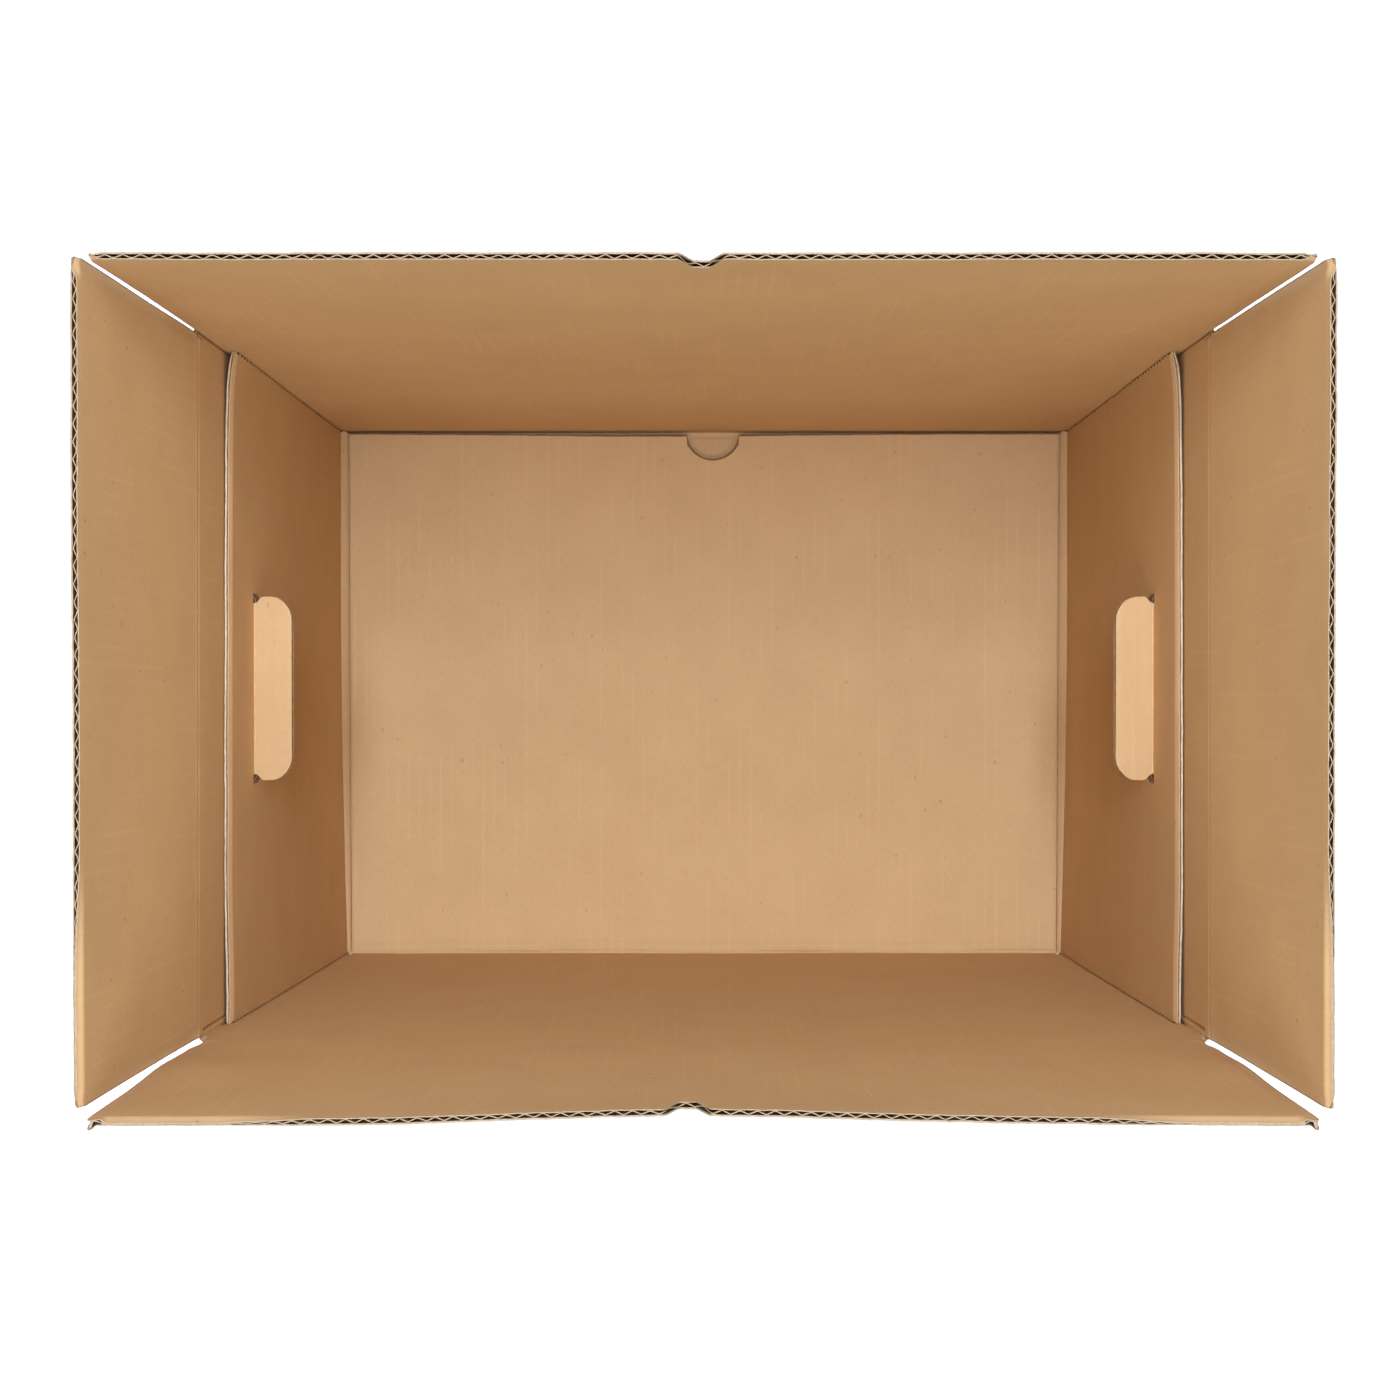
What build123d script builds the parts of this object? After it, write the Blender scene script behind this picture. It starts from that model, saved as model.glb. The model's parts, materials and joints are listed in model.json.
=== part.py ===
from build123d import *
import os
from math import cos, floor, radians, sin

# Moving box folded from one die-cut sheet of corrugated board, open, with its top flaps standing.
# Millimetres, +X to the right end, +Y to the back wall, +Z up, origin under the middle of the base.

# Board
board = 3.0
liner = 0.4
flute_pitch = 6.5
flute_web = 0.5
flute_depth = 12.0
flute_base_share = 0.8
edge_crush = 6.0
fold_radius = 0.8
fold_leg = 12.0
layer_gap = 0.3
crease_gap = 0.3
overrun = 5.0

# Walls
inner_length = 450.0
inner_width = 315.0
crease_height = 345.0
slot_reach = 4.0
slot_depth = 14.0

# Base panel, its wings and the bottom flaps
wing_setback = 47.4
wing_fold = 4.5
wing_gap = 1.5
wing_side_gap = 1.0
thumb_radius = 15.0
thumb_x = 5.5
bottom_side_gap = 1.0
end_bottom_length = 157.0
back_bottom_setback = 2.0

# Top flaps
meeting_gap = 2.0
end_flap_side_gap = 1.8
long_flap_side_gap = 0.5
end_flap_lean = 2.0
back_flap_lean = -1.0
end_flap_taper = 1.5
tip_radius = 2.0
notch_width = 17.5
notch_floor = 5.0
notch_depth = 15.0
notch_radius = 2.0
front_notch_x = -6.0
back_notch_x = -1.0

# Hand holes
grip_setback = 47.6
grip_length = 92.0
grip_depth = 20.0
grip_radius = 12.0
grip_clearance = 0.6
grip_open_angle = 108.0
hand_hole_margin = 2.0

# Faces and levels that follow from the sizes above
half_length = inner_length / 2
half_width = inner_width / 2
outer_half_length = half_length + board
outer_half_width = half_width + board
layer = board + layer_gap
floor_level = 2 * layer + board
end_bottom_level = layer + board
long_crease_height = crease_height + layer
flap_length = outer_half_width - meeting_gap / 2
end_flap_width = inner_width - 2 * end_flap_side_gap
long_flap_width = inner_length - 2 * long_flap_side_gap
wing_x = half_length - wing_gap - board
base_half_length = wing_x - wing_fold
wing_top = crease_height - wing_setback
grip_height = wing_top - grip_setback
base_half_width = half_width - wing_side_gap


def crease_plane(hinge, inward, lean):
    """Outer face of a flap that leans outwards: x along its crease, y up the flap, z into the box."""
    tilt = radians(lean)
    upright = Vector(0, 0, 1)
    up = upright * cos(tilt) - inward * sin(tilt)
    into = inward * cos(tilt) + upright * sin(tilt)
    return Plane(origin=hinge, x_dir=up.cross(into), z_dir=into)


def section_plane(crease):
    """Cut across a crease: x into the box, y up the flap."""
    return Plane(origin=crease.origin, x_dir=crease.z_dir, z_dir=-crease.x_dir)


def mitre(crease, run, rise):
    """Bevel one side of a crease through the whole board, so that the fold can close inwards."""
    edge = rise * crease_gap / 2
    reach = board + overrun
    with BuildSketch(section_plane(crease)) as wedge:
        Polygon(
            (-overrun, edge - rise * overrun),
            (reach, edge - rise * overrun),
            (reach, edge + rise * reach),
            align=None,
        )
    extrude(wedge.sketch, amount=run / 2, both=True, mode=Mode.SUBTRACT)


def flap_blank(crease, width, taper):
    """One top flap with its tip corners eased, narrower at the tip on one side."""
    with BuildSketch(crease) as outline:
        Polygon(
            (-width / 2, crease_gap / 2),
            (width / 2, crease_gap / 2),
            (width / 2 - taper, flap_length),
            (-width / 2, flap_length),
            align=None,
        )
        fillet(outline.vertices().group_by(Axis.Y)[-1], radius=tip_radius)
    extrude(outline.sketch, amount=board)
    mitre(crease, width + 2 * overrun, 1)


def flute_mouths(crease, width):
    """Open ends of the flutes along a flap's tip, pointing at each face of the board in turn."""
    tip = Plane(
        origin=crease.from_local_coords((0, flap_length, 0)),
        x_dir=-crease.x_dir,
        z_dir=crease.y_dir,
    )
    count = floor((width - 2 * edge_crush) / flute_pitch)
    half_base = flute_base_share * flute_pitch / 2
    apex = board - liner - flute_web
    with BuildSketch(tip) as mouths:
        with GridLocations(flute_pitch, 0, count, 1):
            Polygon((-half_base, liner), (half_base, liner), (0, apex), align=None)
        with GridLocations(flute_pitch, 0, count - 1, 1):
            Polygon((-half_base, board - liner), (0, board - apex), (half_base, board - liner), align=None)
    extrude(mouths.sketch, amount=-flute_depth, mode=Mode.SUBTRACT)


def finger_notch(crease, place):
    """Tapered notch in the tip of a long flap."""
    with BuildSketch(crease) as notch:
        with BuildLine():
            FilletPolyline(
                (place - notch_width / 2, flap_length),
                (place - notch_floor / 2, flap_length - notch_depth),
                (place + notch_floor / 2, flap_length - notch_depth),
                (place + notch_width / 2, flap_length),
                radius=notch_radius,
            )
            Line((place + notch_width / 2, flap_length), (place - notch_width / 2, flap_length))
        make_face()
    extrude(notch.sketch, amount=board, mode=Mode.SUBTRACT)


def hand_hole(face, margin, top):
    """Hand hole outline on an upright face: straight along the top, round at the lower corners."""
    with BuildSketch(face) as outline:
        with Locations((0, grip_height + top)):
            Rectangle(
                grip_length + 2 * margin,
                grip_depth + top + margin,
                align=(Align.CENTER, Align.MAX),
            )
        fillet(outline.vertices().group_by(Axis.Y)[0], radius=grip_radius + margin)
    return outline.sketch


left_crease = Vector(-outer_half_length, 0, crease_height)
right_crease = Vector(outer_half_length, 0, crease_height)
front_crease = Vector(0, -outer_half_width, long_crease_height)
back_crease = Vector(0, outer_half_width, long_crease_height)
to_right = Vector(1, 0, 0)
to_back = Vector(0, 1, 0)

with BuildPart() as carton:
    # Four walls, folded round the upright corners
    with BuildSketch(Plane.XY.offset(floor_level)):
        RectangleRounded(2 * outer_half_length, 2 * outer_half_width, board + fold_radius)
        RectangleRounded(inner_length, inner_width, fold_radius, mode=Mode.SUBTRACT)
    extrude(amount=crease_height - crease_gap / 2 - floor_level)

    # Long walls rise one layer above the end walls, so that their flaps close on top
    with BuildSketch(Plane.XY.offset(crease_height - layer)):
        with GridLocations(0, inner_width + board, 1, 2):
            Rectangle(long_flap_width, board)
    extrude(amount=2 * layer - crease_gap / 2)

    # Slots that part the top flaps at the front corners
    with BuildSketch(Plane.XY.offset(crease_height - slot_depth)):
        with Locations((0, -outer_half_width)):
            with GridLocations(2 * outer_half_length, 0, 2, 1):
                Rectangle(2 * slot_reach, 2 * slot_reach)
    extrude(amount=slot_depth + layer, mode=Mode.SUBTRACT)

    # Base panel with a wing folded up at each end, over two scores with a sloping strip between them
    with BuildSketch(Plane.XZ):
        with BuildLine():
            FilletPolyline(
                (-wing_x, wing_top),
                (-wing_x, floor_level + wing_fold),
                (-base_half_length, floor_level),
                (base_half_length, floor_level),
                (wing_x, floor_level + wing_fold),
                (wing_x, wing_top),
                radius=fold_radius,
            )
            offset(amount=board, side=Side.RIGHT)
        make_face()
    extrude(amount=base_half_width, both=True)

    # Fold from the front wall into the base panel
    with BuildSketch(Plane.YZ):
        with BuildLine():
            FilletPolyline(
                (-half_width, floor_level + fold_leg),
                (-half_width, floor_level),
                (-half_width + fold_leg, floor_level),
                radius=fold_radius,
            )
            offset(amount=board, side=Side.RIGHT)
        make_face()
    extrude(amount=base_half_length, both=True)

    # Fold from the back wall into its bottom flap, the outermost layer
    with BuildSketch(Plane.YZ):
        with BuildLine():
            FilletPolyline(
                (half_width, floor_level + fold_leg),
                (half_width, board),
                (-outer_half_width + back_bottom_setback, board),
                radius=fold_radius,
            )
            offset(amount=board, side=Side.LEFT)
        make_face()
    extrude(amount=half_length - bottom_side_gap, both=True)

    # Fold from each end wall into its bottom flap, the middle layer
    with BuildSketch(Plane.XZ):
        with BuildLine():
            FilletPolyline(
                (-half_length, floor_level + fold_leg),
                (-half_length, end_bottom_level),
                (-half_length + end_bottom_length, end_bottom_level),
                radius=fold_radius,
            )
            offset(amount=board, side=Side.RIGHT)
        make_face()
        mirror(about=Plane.YZ)
    extrude(amount=half_width - bottom_side_gap, both=True)

    # Hand hole through each wing, and a wider one through the end wall behind it
    for end in (-1, 1):
        wing_face = Plane.YZ.offset(end * (wing_x - overrun))
        wing_cut = end * (half_length - wing_x + overrun)
        extrude(hand_hole(wing_face, grip_clearance, crease_gap / 2), amount=wing_cut, mode=Mode.SUBTRACT)
        wall_face = Plane.YZ.offset(end * half_length)
        wall_cut = end * (board + overrun)
        extrude(hand_hole(wall_face, hand_hole_margin, hand_hole_margin), amount=wall_cut, mode=Mode.SUBTRACT)

    # Thumb notch in the base panel's free edge
    with BuildSketch(Plane.XY.offset(floor_level - board - layer_gap / 2)):
        with Locations((thumb_x, base_half_width)):
            Circle(thumb_radius)
            Rectangle(2 * thumb_radius, thumb_radius, align=(Align.CENTER, Align.MAX), mode=Mode.INTERSECT)
    extrude(amount=layer, mode=Mode.SUBTRACT)

    # Bevelled upper edges where the top flaps fold
    mitre(crease_plane(left_crease, to_right, 0), inner_width, -1)
    mitre(crease_plane(right_crease, -to_right, 0), inner_width, -1)
    mitre(crease_plane(front_crease, to_back, 0), long_flap_width, -1)
    mitre(crease_plane(back_crease, -to_back, 0), long_flap_width, -1)

with BuildPart() as left_top_flap:
    left_face = crease_plane(left_crease, to_right, end_flap_lean)
    flap_blank(left_face, end_flap_width, end_flap_taper)
    flute_mouths(left_face, end_flap_width)

with BuildPart() as right_top_flap:
    mirror(left_top_flap.part, about=Plane.YZ)

with BuildPart() as front_top_flap:
    front_face = crease_plane(front_crease, to_back, 0)
    flap_blank(front_face, long_flap_width, 0)
    flute_mouths(front_face, long_flap_width)
    finger_notch(front_face, -front_notch_x)

with BuildPart() as back_top_flap:
    back_face = crease_plane(back_crease, -to_back, back_flap_lean)
    flap_blank(back_face, long_flap_width, 0)
    flute_mouths(back_face, long_flap_width)
    finger_notch(back_face, back_notch_x)

with BuildPart() as left_grip_flap:
    # The tab's inner face, turned up into the box about the top of the hole
    swing = radians(grip_open_angle)
    tab_face = Plane(
        origin=(-wing_x, 0, grip_height),
        x_dir=(0, -1, 0),
        z_dir=(cos(swing), 0, sin(swing)),
    )
    with BuildSketch(tab_face) as tab:
        with Locations((0, crease_gap / 2)):
            Rectangle(grip_length, grip_depth - crease_gap / 2, align=(Align.CENTER, Align.MIN))
        fillet(tab.vertices().group_by(Axis.Y)[-1], radius=grip_radius)
    extrude(amount=-board)

with BuildPart() as right_grip_flap:
    mirror(left_grip_flap.part, about=Plane.YZ)

pieces = {
    "carton": carton,
    "front_top_flap": front_top_flap,
    "back_top_flap": back_top_flap,
    "left_top_flap": left_top_flap,
    "right_top_flap": right_top_flap,
    "left_grip_flap": left_grip_flap,
    "right_grip_flap": right_grip_flap,
}
os.makedirs("parts", exist_ok=True)
for name, piece in pieces.items():
    piece.part.label = name
    export_step(piece.part, f"parts/{name}.step")
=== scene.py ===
import json
from math import atan2, pi, radians

import bmesh
import bpy
import numpy as np
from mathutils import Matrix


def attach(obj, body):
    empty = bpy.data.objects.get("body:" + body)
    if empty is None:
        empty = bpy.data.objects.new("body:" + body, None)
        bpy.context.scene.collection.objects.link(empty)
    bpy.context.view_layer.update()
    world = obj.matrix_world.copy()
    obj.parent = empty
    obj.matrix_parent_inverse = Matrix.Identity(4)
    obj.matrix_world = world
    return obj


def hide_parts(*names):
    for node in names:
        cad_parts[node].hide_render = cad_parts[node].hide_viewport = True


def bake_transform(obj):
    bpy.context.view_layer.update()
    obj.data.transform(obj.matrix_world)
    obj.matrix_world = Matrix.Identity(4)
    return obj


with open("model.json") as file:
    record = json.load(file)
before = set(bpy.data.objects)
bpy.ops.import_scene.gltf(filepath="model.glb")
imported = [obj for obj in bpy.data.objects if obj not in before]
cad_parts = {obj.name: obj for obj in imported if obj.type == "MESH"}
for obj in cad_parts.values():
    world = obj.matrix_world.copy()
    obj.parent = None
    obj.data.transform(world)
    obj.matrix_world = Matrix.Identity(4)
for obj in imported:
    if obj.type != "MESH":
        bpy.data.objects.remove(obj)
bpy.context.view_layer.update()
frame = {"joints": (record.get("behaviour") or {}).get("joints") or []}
scene = bpy.context.scene

# Sizes are in millimetres, as in the part's source, and go to metres when a mesh is made.
MM = 0.001

hinges = {joint["name"]: [value / MM for value in joint["pos_m"]] for joint in frame["joints"]}
END_CREASE = hinges["left_flap_crease"][2]
LONG_CREASE = hinges["front_flap_crease"][2]
GRIP_Z = hinges["left_grip_crease"][2]

# Board
BOARD = 3.0         # thickness
LINER = 0.38        # thickness of a liner
MEDIUM = 0.4        # thickness of the fluted medium
FLUTE = 6.5         # pitch of the flutes
WAVE_STEP = FLUTE / 10.0
FOLD = 3.8          # outer radius of a fold
SCORE = 4.0         # half the band that bends at a crease
INSET = 0.9         # how far the open flutes stay inside a flap's cut sides
SUNK = 0.3          # how far the medium ends below a cut edge

# Walls
INNER_X = 225.0     # half the length inside
INNER_Y = 157.5     # half the depth inside, front to back
OUTER_X = INNER_X + BOARD
OUTER_Y = INNER_Y + BOARD
FLARE = 0.0095      # share by which the box is longer front to back at its foot than at the crease
CORNER_FOOT = 4.0   # lower end of the four upright folds
SLIT_TOP = 9.8      # upper end of the slits beside the front wall's bottom fold
LOW_SEAM = 18.0     # height where the walls go over into the bottom folds
FRONT_FOLD = 216.0  # half-length of the front wall's bottom fold
SLOT_X = 223.0      # half-length of the front wall between the slots at its corners
SLOT_Z = 334.0      # foot of those slots

# Top flaps
FLAP = 159.5        # from crease to tip
LONG_HALF = 224.5   # half the width of the front and back flap at their foot
END_HALF = 155.7    # half the width of the end flaps at their foot
SEAM = 8.0          # how far below its crease a top flap's piece starts
FREE = 0.4          # how far below its crease a top flap starts to widen

# Base panel, wings and tabs
FLOOR = 9.6         # upper face of the base panel
SHEET_GAP = 0.3     # between the two sheets of bottom flaps
STRIP = 6.0         # width of the sloping strip between the base panel and a wing
STRIP_RISE = 4.5    # how far a wing's straight part starts above the base panel
WING_TOP = 297.6    # height of the wings' top edge
WING_HALF = 157.2   # half the width of a wing
WING_EDGE = 150.0   # where a wing's scalloped edge starts
GRIP_ANGLE = 108.0  # how far the tabs are turned in, in degrees

# Material slots of every board piece. The fluting's slot also serves as painted shade on a narrow strip along
# each top flap's cut sides. It is also painted shadow of the gap under the base panel's free edge, on that
# edge's crushed band and its cut edges.
KRAFT, FLUTES_AND_SHADE, CUT, TORN = 0, 1, 2, 3

UP = np.array((0.0, 0.0, 1.0))


def smooth(t):
    """Ease from 0 to 1."""
    t = np.clip(t, 0.0, 1.0)
    return t * t * (3.0 - 2.0 * t)


def bump(at, centre, width):
    """Soft hump of height 1."""
    return np.exp(-(((at - centre) / width) ** 2))


def runs(start, *stops):
    """Positions from start through each stop, spaced by about the step given with it."""
    out = [start]
    for end, step in stops:
        count = max(1, int(round(abs(end - out[-1]) / step)))
        out.extend(np.linspace(out[-1], end, count + 1)[1:])
    return np.array(out)


def noise_line(at, spacing, seed, count=2048):
    """Smooth chance values from -1 to 1 along a line."""
    knots = np.random.default_rng(seed).uniform(-1.0, 1.0, count)
    cell = np.floor(at / spacing).astype(int)
    t = smooth(at / spacing - cell)
    return knots[cell % count] * (1.0 - t) + knots[(cell + 1) % count] * t


def noise_field(u, v, spacing, seed, count=64):
    """Smooth chance values from -1 to 1 over a surface."""
    knots = np.random.default_rng(seed).uniform(-1.0, 1.0, (count, count))
    i, j = np.floor(u / spacing).astype(int), np.floor(v / spacing).astype(int)
    s, t = smooth(u / spacing - i), smooth(v / spacing - j)
    left, right, lower, upper = i % count, (i + 1) % count, j % count, (j + 1) % count
    low = knots[left, lower] * (1.0 - s) + knots[right, lower] * s
    high = knots[left, upper] * (1.0 - s) + knots[right, upper] * s
    return low * (1.0 - t) + high * t


def every_cell(grid):
    """A mark for each cell between a grid's points."""
    return np.ones((grid.shape[0] - 1, grid.shape[1] - 1), bool)


def core_cells(grid, rows, last):
    """The cells that the core fills: all but the outermost columns, up to the row at last."""
    slack = 0.1
    core = every_cell(grid)
    core[[0, -1], :] = False
    core[:, rows[1:] > last + slack] = False
    return core


class Panel:
    """A stretch of board. u and v are places on the flat sheet, and w is the height over its outer face."""

    def __init__(self, place, faces, shift, flutes_along_v=True, thick=None):
        self.place, self.faces, self.shift, self.flutes_along_v = place, faces, shift, flutes_along_v
        self.thick = thick or (lambda u, v: (LINER, LINER))

    def flat(self, u, v):
        """Flat places as (across the flutes, along them)."""
        across, along = (u, v) if self.flutes_along_v else (v, u)
        return np.stack([across + self.shift, along], -1)


def plain_faces(u, v):
    """Heights of the inner and outer face of flat board."""
    return np.full_like(u, BOARD), np.zeros_like(u)


class Sheet:
    """Points and faces of one piece, gathered slab by slab."""

    def __init__(self):
        self.points, self.flat, self.quads, self.slots = [], [], [], []
        self.count = 0

    def add(self, corners, slot):
        """Quads with one slot for all, or with one for each."""
        quads = np.stack(corners, 1)
        self.quads.append(quads)
        self.slots.append(np.broadcast_to(slot, len(quads)))

    def slab(self, face, back, flat, kept, slots, closed=False):
        """A closed slab between two grids of points, over the kept cells.

        Slots: for the face, for the back, and for the rim or its (sides, ends).
        """
        columns, rows = face.shape[:2]
        sides, ends = np.broadcast_to(slots[2], 2)
        a = self.count + np.arange(columns * rows).reshape(columns, rows)
        b = a + columns * rows
        self.count += 2 * columns * rows
        self.points += [face.reshape(-1, 3), back.reshape(-1, 3)]
        self.flat += [flat.reshape(-1, 2)] * 2
        empty = np.zeros((1, kept.shape[1]), bool)
        before = np.roll(kept, 1, 0) if closed else np.vstack([empty, kept[:-1]])
        after = np.roll(kept, -1, 0) if closed else np.vstack([kept[1:], empty])
        below = np.pad(kept, ((0, 0), (1, 0)))[:, :-1]
        above = np.pad(kept, ((0, 0), (0, 1)))[:, 1:]
        i, j = np.nonzero(kept)
        n = (i + 1) % columns
        self.add([a[i, j], a[n, j], a[n, j + 1], a[i, j + 1]], np.broadcast_to(slots[0], kept.shape)[kept])
        self.add([b[i, j], b[i, j + 1], b[n, j + 1], b[n, j]], slots[1])
        i, j = np.nonzero(kept & ~before)
        self.add([a[i, j], a[i, j + 1], b[i, j + 1], b[i, j]], sides)
        i, j = np.nonzero(kept & ~after)
        n = (i + 1) % columns
        self.add([a[n, j], b[n, j], b[n, j + 1], a[n, j + 1]], sides)
        i, j = np.nonzero(kept & ~below)
        n = (i + 1) % columns
        self.add([a[i, j], b[i, j], b[n, j], a[n, j]], ends)
        i, j = np.nonzero(kept & ~above)
        n = (i + 1) % columns
        self.add([a[i, j + 1], a[n, j + 1], b[n, j + 1], b[i, j + 1]], ends)

    def board(self, panel, u, v, kept, core, closed=False, face=KRAFT, rims=(CUT, CUT)):
        """Two liners over the kept cells, and the core between them, which stops short of cut edges."""
        inner, outer = panel.faces(u, v)
        near, far = panel.thick(u, v)
        flat = panel.flat(u, v)
        inside = panel.place(u, v, inner - near)
        outside = panel.place(u, v, outer + far)
        self.slab(panel.place(u, v, inner), inside, flat, kept, (face, FLUTES_AND_SHADE, rims[0]), closed)
        self.slab(panel.place(u, v, outer), outside, flat, kept, (KRAFT, FLUTES_AND_SHADE, rims[1]), closed)
        self.slab(inside, outside, flat, core, (FLUTES_AND_SHADE, FLUTES_AND_SHADE, FLUTES_AND_SHADE), closed)

    def fill(self, panel, u, v):
        """Board pressed shut between its liners."""
        inner, outer = panel.faces(u, v)
        near, far = panel.thick(u, v)
        face, back = panel.place(u, v, inner - near), panel.place(u, v, outer + far)
        self.slab(face, back, panel.flat(u, v), every_cell(u), (FLUTES_AND_SHADE, FLUTES_AND_SHADE, CUT))

    def wave(self, panel, u, v):
        """The fluted medium seen in a cut edge: a wave between the liners."""
        pointed = 0.1
        inner, outer = panel.faces(u, v)
        turn = 2.0 * pi * (panel.flat(u, v)[..., 0] - panel.shift) / FLUTE
        height = (np.cos(turn) + pointed * np.cos(3.0 * turn)) / (1.0 + pointed)
        near, far = panel.thick(u, v)
        room = (inner - near - outer - far - MEDIUM) / 2.0
        middle = (inner - near + outer + far) / 2.0 + height * np.maximum(room, 0.0)
        face = panel.place(u, v, middle + MEDIUM / 2.0)
        back = panel.place(u, v, middle - MEDIUM / 2.0)
        self.slab(face, back, panel.flat(u, v), every_cell(u), (FLUTES_AND_SHADE, FLUTES_AND_SHADE, CUT))

    def piece(self, name):
        """The piece's object, flared towards the foot, with its flat sheet kept as a UV map in metres."""
        points, flat = np.concatenate(self.points), np.concatenate(self.flat)
        points[:, 1] *= 1.0 + FLARE * np.clip(1.0 - points[:, 2] / END_CREASE, 0.0, 1.0)
        used, quads = np.unique(np.concatenate(self.quads), return_inverse=True)
        mesh = bpy.data.meshes.new(name)
        mesh.from_pydata((points[used] * MM).tolist(), [], quads.reshape(-1, 4).tolist())
        mesh.polygons.foreach_set("material_index", np.concatenate(self.slots).astype(np.int32))
        corner = np.empty(len(mesh.loops), np.int32)
        mesh.loops.foreach_get("vertex_index", corner)
        uv = mesh.uv_layers.new(name="sheet")
        uv.data.foreach_set("uv", (flat[used][corner] * MM).astype(np.float32).ravel())
        for material in (kraft, fluting_and_shade, cut_edge, torn_edge):
            mesh.materials.append(material)
        shell = bmesh.new()
        shell.from_mesh(mesh)
        bmesh.ops.recalc_face_normals(shell, faces=shell.faces)
        shell.to_mesh(mesh)
        shell.free()
        mesh.shade_smooth()
        mesh.set_sharp_from_angle(angle=radians(35))
        piece = bpy.data.objects.new(name, mesh)
        scene.collection.objects.link(piece)
        return piece


# Materials

def nodes_of(name):
    """A new material, with its node tree and its main shader."""
    material = bpy.data.materials.new(name)
    material.use_nodes = True
    tree = material.node_tree
    return material, tree, tree.nodes["Principled BSDF"]


def add_node(tree, kind, **values):
    """A node with its settings and unlinked inputs."""
    node = tree.nodes.new(kind)
    for key, value in values.items():
        if key in node.bl_rna.properties:
            setattr(node, key, value)
        else:
            node.inputs[key.replace("_", " ")].default_value = value
    return node


def ramp(tree, source, *stops):
    """A colour ramp on a value."""
    node = tree.nodes.new("ShaderNodeValToRGB")
    while len(node.color_ramp.elements) < len(stops):
        node.color_ramp.elements.new(0.5)
    for element, (at, colour) in zip(node.color_ramp.elements, stops):
        element.position = at
        element.color = (*colour, 1.0)
    tree.links.new(source, node.inputs["Fac"])
    return node.outputs["Color"]


def feed(tree, sockets, values):
    """Link or set each socket."""
    for socket, value in zip(sockets, values):
        if isinstance(value, bpy.types.NodeSocket):
            tree.links.new(value, socket)
        else:
            socket.default_value = value


def mix(tree, kind, factor, first, second):
    """Two colours mixed by a factor."""
    node = add_node(tree, "ShaderNodeMix", data_type="RGBA", blend_type=kind)
    feed(tree, (node.inputs[0], node.inputs[6], node.inputs[7]), (factor, first, second))
    return node.outputs[2]


def multiply(tree, first, second):
    """Product of two values."""
    node = add_node(tree, "ShaderNodeMath", operation="MULTIPLY")
    feed(tree, (node.inputs[0], node.inputs[1]), (first, second))
    return node.outputs[0]


def stretched(tree, across, along):
    """The flat sheet's places, scaled across and along the flutes."""
    place = add_node(tree, "ShaderNodeUVMap", uv_map="sheet")
    scale = add_node(tree, "ShaderNodeMapping", Scale=(across, along, 1.0))
    tree.links.new(place.outputs["UV"], scale.inputs["Vector"])
    return scale.outputs["Vector"]


def noise(tree, across, along, detail=2.0, roughness=0.5):
    """Noise with that many features to a metre each way."""
    node = add_node(tree, "ShaderNodeTexNoise", Scale=1.0, Detail=detail, Roughness=roughness)
    tree.links.new(stretched(tree, across, along), node.inputs["Vector"])
    return node.outputs["Fac"]


def grey(value):
    """A grey as a colour."""
    return (value, value, value)


def kraft_material():
    """Uncoated kraft liner: faint clouds, fibres and flecks, and the flutes showing through in streaks."""
    material, tree, shader = nodes_of("kraft_liner")
    cloud = ramp(
        tree, noise(tree, 30.0, 24.0, 4.0, 0.6),
        (0.30, (0.567, 0.362, 0.175)), (0.50, (0.584, 0.375, 0.182)), (0.70, (0.600, 0.388, 0.190)),
    )
    fibres = noise(tree, 1100.0, 240.0, 3.0, 0.6)
    fibre = ramp(tree, fibres, (0.25, grey(0.955)), (0.75, grey(1.04)))
    grain = ramp(tree, noise(tree, 2600.0, 2200.0, 2.0, 0.5), (0.25, grey(0.97)), (0.75, grey(1.03)))
    dark = ramp(tree, noise(tree, 330.0, 210.0, 1.0, 0.4), (0.745, grey(1.0)), (0.80, (0.80, 0.76, 0.70)))
    pale = ramp(tree, noise(tree, 420.0, 330.0, 1.0, 0.4), (0.775, grey(0.0)), (0.82, grey(0.22)))

    wave = add_node(
        tree, "ShaderNodeTexWave", wave_type="BANDS", bands_direction="X", Scale=1.0, Distortion=0.0,
    )
    bands_per_unit = 20.0 / (2.0 * pi)
    scale = 1.0 / (FLUTE * MM) / bands_per_unit
    tree.links.new(stretched(tree, scale, scale), wave.inputs["Vector"])
    ridge = ramp(tree, wave.outputs["Fac"], (0.72, grey(0.0)), (1.0, grey(1.0)))
    shows = ramp(tree, noise(tree, 75.0, 14.0, 2.0, 0.5), (0.50, grey(0.0)), (0.66, grey(1.0)))
    streak = ramp(tree, multiply(tree, ridge, shows), (0.0, grey(1.0)), (1.0, (1.05, 1.055, 1.06)))

    colour = cloud
    for layer in (fibre, grain, dark, streak):
        colour = mix(tree, "MULTIPLY", 1.0, colour, layer)
    colour = mix(tree, "MIX", pale, colour, (0.80, 0.63, 0.43, 1.0))
    tree.links.new(colour, shader.inputs["Base Color"])

    rough = ramp(tree, noise(tree, 300.0, 90.0, 3.0, 0.6), (0.3, grey(0.78)), (0.7, grey(0.92)))
    tree.links.new(rough, shader.inputs["Roughness"])
    shader.inputs["Specular IOR Level"].default_value = 0.22

    low = add_node(tree, "ShaderNodeBump", Strength=0.35, Distance=0.0001)
    tree.links.new(wave.outputs["Fac"], low.inputs["Height"])
    high = add_node(tree, "ShaderNodeBump", Strength=0.4, Distance=0.00005)
    tree.links.new(fibres, high.inputs["Height"])
    tree.links.new(low.outputs["Normal"], high.inputs["Normal"])
    tree.links.new(high.outputs["Normal"], shader.inputs["Normal"])
    return material


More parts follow.
